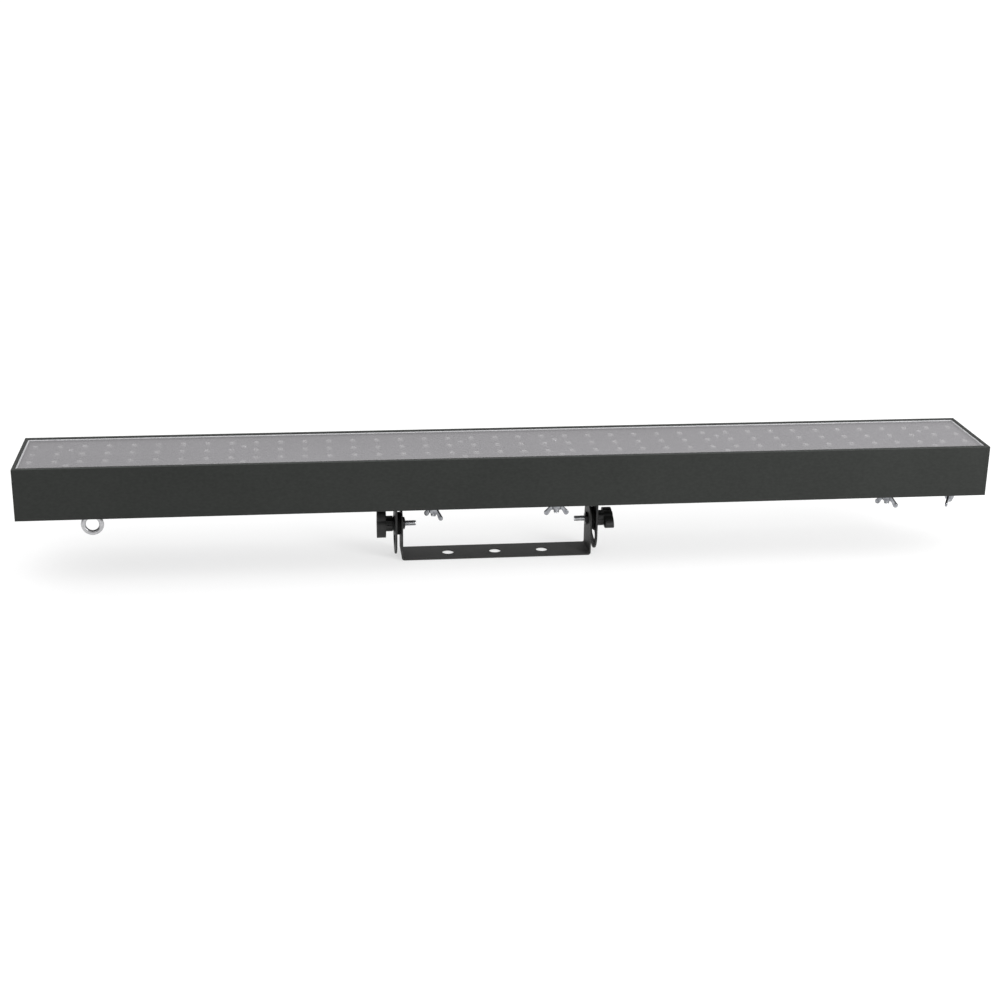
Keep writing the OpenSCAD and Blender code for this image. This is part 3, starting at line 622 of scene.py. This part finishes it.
def recessed_head(bm, centre, outward, radius, height, flat=False):
    """A round screw head on a face, with a cross recess. outward points away from the face."""
    steps = 32
    place = Matrix.Translation(centre) @ facing(Vector(outward), "Z")
    dome = 0 if flat else 0.12 * radius
    reach, width, sink = 0.62 * radius, 0.13 * radius, 0.55 * height

    def depth(x, y):
        inside = (abs(x) < width and abs(y) < reach) or (abs(y) < width and abs(x) < reach)
        return sink if inside else 0.0

    across = 16
    rings = [[bm.verts.new(place @ Vector((0, 0, height + dome - sink)))]]
    for k in range(1, across + 1):
        r = radius * k / across * 0.94
        ring = []
        for a in angles(steps):
            x, y = r * math.cos(a), r * math.sin(a)
            z = height + dome * (1 - (r / radius) ** 2) - depth(x, y)
            ring.append(bm.verts.new(place @ Vector((x, y, z))))
        rings.append(ring)
    for z in (height * 0.8, -0.05 * MM):
        rings.append([bm.verts.new(place @ Vector((radius * math.cos(a), radius * math.sin(a), z)))
                      for a in angles(steps)])
    skin(bm, rings)
    bm.faces.new(rings[-1][::-1])


def hex_nut(bm, face, axis_x, radius, thickness):
    """A chamfered hexagon nut on an X axis from the point given, with a nylon collar."""
    turn = Matrix.Translation(face) @ Matrix.Rotation(math.pi / 2 * axis_x, 4, "Y")
    steps = 36
    rings = []
    for z, chamfer in ((0, 0.94), (0.12, 1.0), (0.88, 1.0), (1.0, 0.93)):
        ring = []
        for a in angles(steps):
            flat = math.cos(math.pi / 6) / math.cos((a % (math.pi / 3)) - math.pi / 6)
            r = radius * min(flat, chamfer)
            corner = Vector((r * math.cos(a), r * math.sin(a), z * thickness))
            ring.append(bm.verts.new(turn @ corner))
        rings.append(ring)
    for share, z in ((0.72, 1.0), (0.66, 1.18), (0.46, 1.18), (0.46, 0.0)):
        r = share * radius
        rings.append([bm.verts.new(turn @ Vector((r * math.cos(a), r * math.sin(a), z * thickness)))
                      for a in angles(steps)])
    skin(bm, [*rings, rings[0]])


def pivot_nuts():
    for side, node in ((-1, "pivot_nut_left"), (1, "pivot_nut_right")):
        low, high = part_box(node)
        centre = (low + high) / 2
        outer = Vector((high.x if side > 0 else low.x, centre.y, centre.z))
        bm = bmesh.new()
        hex_nut(bm, outer, -side, (high.z - low.z) / 2, (high.x - low.x) / 1.2)
        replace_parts(piece(node + "_hex", bm, node, DARK_STEEL, smooth=25), node)


def studs():
    for node in ("knob_stud_left", "knob_stud_right"):
        low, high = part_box(node)
        centre = (low + high) / 2
        bm = bmesh.new()
        thread(bm, Vector((low.x, centre.y, centre.z)), Vector((high.x, centre.y, centre.z)),
               SCREW_R)
        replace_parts(piece(node + "_threaded", bm, node, ZINC, smooth=40), node)


def screws():
    """Heads with cross recesses over the CAD screws of the caps, the sockets and the panel."""
    bm = bmesh.new()
    for screw in solids("end_cap_screws"):
        centre = middle(screw)
        side = 1 if centre.x > 0 else -1
        face = Vector((side * np.abs(screw[:, 0]).max() - side * 1.2 * MM, centre.y, centre.z))
        recessed_head(bm, face, (side, 0, 0), 2.8 * MM, 1.15 * MM, flat=True)
    piece("end_cap_screw_heads", bm, "end_cap_screws", DARK_STEEL, smooth=40)
    head_t = 1.4 * MM
    for node in ("socket_screws", "control_panel_screws"):
        bm = bmesh.new()
        for screw in solids(node):
            centre = middle(screw)
            low = Vector((centre.x, centre.y, screw[:, 2].min() + head_t))
            recessed_head(bm, low, (0, 0, -1), 2.85 * MM, head_t)
        piece(node + "_heads", bm, node, DARK_STEEL, smooth=40)


# ---------- knobs ----------

def knob(node, side):
    """A moulded two-winged clamp knob, left (-1) or right (1): waisted head, ribbed hub."""
    low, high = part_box(node)
    points = np.array([v.co for v in NODES[node].data.vertices])
    stud_low, stud_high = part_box("knob_stud_left")
    axis_z = (stud_low.z + stud_high.z) / 2
    inner_x, outer_x = (low.x, high.x) if side > 0 else (high.x, low.x)
    total_l = abs(outer_x - inner_x)
    face = points[np.abs(points[:, 0] - outer_x) < 0.01 * MM][:, 1:] - (0, axis_z)
    reaches = np.linalg.norm(face, axis=1)
    tip = face[np.argmax(reaches)]
    turn = math.atan2(tip[1], tip[0])
    outline = []
    for a in angles(64):
        waist = 1 - 0.1 * math.sin(a) ** 8
        outline.append(((reaches.max() - WING_R) * math.cos(a) + WING_R * math.cos(a),
                        WING_R * 1.1 * waist * math.sin(a)))
    place = (Matrix.Translation((inner_x, 0, axis_z)) @ Matrix.Rotation(turn, 4, "X")
             @ Matrix.Rotation(math.pi / 2, 4, "Y") @ Matrix.Rotation(math.pi / 2, 4, "Z"))
    bm = bmesh.new()
    slab(bm, outline, *sorted((side * HUB_L, side * total_l)), place)
    hub = [(0, 0), (HUB_R - 0.5 * MM, 0), (HUB_R, 0.5 * MM), (HUB_R, HUB_L),
           (HUB_R - 0.4 * MM, total_l), (0, total_l)]
    lathe(bm, [(r, side * h) for r, h in hub], (inner_x, 0, axis_z), along_x=True, steps=56)
    body = fused(bm, 0.45 * MM, 5)
    rib_r = 0.7 * MM
    rib = [(0, 0), (rib_r, 0.2 * MM), (rib_r, HUB_L - 0.8 * MM), (0, HUB_L - 0.6 * MM)]
    for a in angles(10):
        start = (inner_x + side * 0.6 * MM, HUB_R * math.cos(a), axis_z + HUB_R * math.sin(a))
        lathe(body, [(r, side * h) for r, h in rib], start, along_x=True, steps=12)
    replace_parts(piece(node + "_moulded", body, node, NYLON, smooth=60), node)


# ---------- sockets ----------

def contacts():
    """Gilt contacts in the four sockets."""
    circle_r, depth = 5 * MM, 12.2 * MM
    pin = [(r * MM, z * MM) for r, z in ((0, -1.2), (0.9, -0.7), (1.3, 0), (1.3, 4), (0, 4))]
    for node, count in (("power_inlet", 3), ("power_outlet", 3), ("data_input_socket", 5),
                        ("data_output_socket", 5)):
        low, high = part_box(node)
        centre = (low + high) / 2
        bm = bmesh.new()
        for a in angles(count):
            foot = (centre.x + circle_r * math.cos(a), centre.y + circle_r * math.sin(a),
                    low.z + depth)
            lathe(bm, pin, foot, steps=16)
        piece(node + "_contacts", bm, node, BRASS, smooth=40)


# ---------- camera, lights, floor ----------

def camera():
    """The photograph's eye point: above and a little left of the middle, looking to the right."""
    data = bpy.data.cameras.new("camera")
    data.sensor_width = 36
    data.lens = 61.45
    data.clip_start = 0.01
    obj = bpy.data.objects.new("camera", data)
    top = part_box("housing")[1].z
    heading, tilt, roll = (math.radians(d) for d in (-7.308, 70.553, 0.912))
    place = Matrix.Translation((-0.2255, -1.678, top + 0.5341))
    obj.matrix_world = (place @ Matrix.Rotation(heading, 4, "Z") @ Matrix.Rotation(tilt, 4, "X")
                        @ Matrix.Rotation(roll, 4, "Z"))
    bpy.context.scene.collection.objects.link(obj)
    bpy.context.scene.camera = obj


def area_light(name, place, target, size, power):
    data = bpy.data.lights.new(name, "AREA")
    data.shape = "RECTANGLE"
    data.size, data.size_y = size
    data.energy = power
    obj = bpy.data.objects.new(name, data)
    direction = Vector(target) - Vector(place)
    obj.matrix_world = Matrix.Translation(place) @ facing(direction, "-Z")
    bpy.context.scene.collection.objects.link(obj)


def sky(world, horizon, overhead):
    """Lights the object like a bright ceiling over a dim horizon, and shows as plain white."""
    tree = world.node_tree
    coords = tree.nodes.new("ShaderNodeTexCoord")
    split = tree.nodes.new("ShaderNodeSeparateXYZ")
    tree.links.new(coords.outputs["Generated"], split.inputs["Vector"])
    background = tree.nodes["Background"]
    background.inputs["Color"].default_value = (1, 1, 1, 1)
    lighting = spread(tree, split.outputs["Z"], horizon, overhead, 0.34, 0.62)
    seen = tree.nodes.new("ShaderNodeLightPath").outputs["Is Camera Ray"]
    tree.links.new(maths(tree, "MAXIMUM", lighting, seen), background.inputs["Strength"])


def studio():
    world = bpy.data.worlds.new("studio")
    world.use_nodes = True
    sky(world, 0.1, 1.9)
    bpy.context.scene.world = world
    area_light("key_right", (1.3, -1.2, 0.8), (0.55, -0.25, 0.0), (0.8, 0.5), 25)
    bpy.context.scene.view_settings.view_transform = "Standard"
    mat, tree, principled = shader("pale_floor")
    tone = blend_colours(tree, spread(tree, grain(tree, 3), 0, 1), (0.3, 0.3, 0.3),
                         (0.31, 0.31, 0.31))
    tree.links.new(tone, principled.inputs["Base Color"])
    principled.inputs["Roughness"].default_value = 0.9
    principled.inputs["Emission Color"].default_value = (1, 1, 1, 1)
    principled.inputs["Emission Strength"].default_value = 0.62
    bm = bmesh.new()
    corners = [(-FLOOR_HALF, -FLOOR_HALF), (FLOOR_HALF, -FLOOR_HALF),
               (FLOOR_HALF, FLOOR_HALF), (-FLOOR_HALF, FLOOR_HALF)]
    slab(bm, corners, -50 * MM, -0.2 * MM, Matrix.Identity(4))
    mesh = bpy.data.meshes.new("floor")
    bm.to_mesh(mesh)
    bm.free()
    add_object("floor", mesh, mat)


camera()
studio()
rounded("diffuser", 0.4 * MM, 3, 30)
# the pale strip round the diffuser is a painted highlight
painted_rim_highlight()
for led_node in ("led_packages_left", "led_packages_right"):
    light_sources(led_node)
dress(NODES["led_board_screws"], SCREW_ZINC)

nut_solid = solids("bracket_wing_nuts")[0]
nut_height = float(nut_solid[:, 2].max() - nut_solid[:, 2].min())
nut_centre = middle(nut_solid).to_2d()
nut_span = 2 * max((Vector(p[:2]) - nut_centre).length for p in nut_solid)
nut_casting = wing_nut_casting(nut_span, nut_height)
for nut_node in ("bracket_wing_nuts", "link_wing_nuts"):
    wing_nuts(nut_node, nut_casting)
nut_casting.free()
for bolt_node in ("bracket_bolts", "link_bolts"):
    rail_bolts(bolt_node)
eye_bolt()
pivot_nuts()
studs()
screws()
knob("knob_left", -1)
knob("knob_right", 1)
contacts()

BROKEN_EDGES = (                # edge radius in mm, and the CAD nodes that get it
    (0.2, "housing"),
    (0.3, "end_cap_left end_cap_right yoke"),
    (0.35, "mount_bracket link_plate"),
    (0.5, "friction_disc_left friction_disc_right"),
    (0.2, "knob_washer_left knob_washer_right"),
    (0.25, "bracket_washers link_washers"),
    (0.3, "control_panel power_inlet power_outlet data_input_socket data_output_socket"),
    (0.3, "fuse_holder"),
    (0.4, "fuse_cap menu_button_1 menu_button_2 menu_button_3 menu_button_4"),
    (0.2, "display_window"),
)
for edge_mm, edge_nodes in BROKEN_EDGES:
    for edge_node in edge_nodes.split():
        rounded(edge_node, edge_mm * MM)
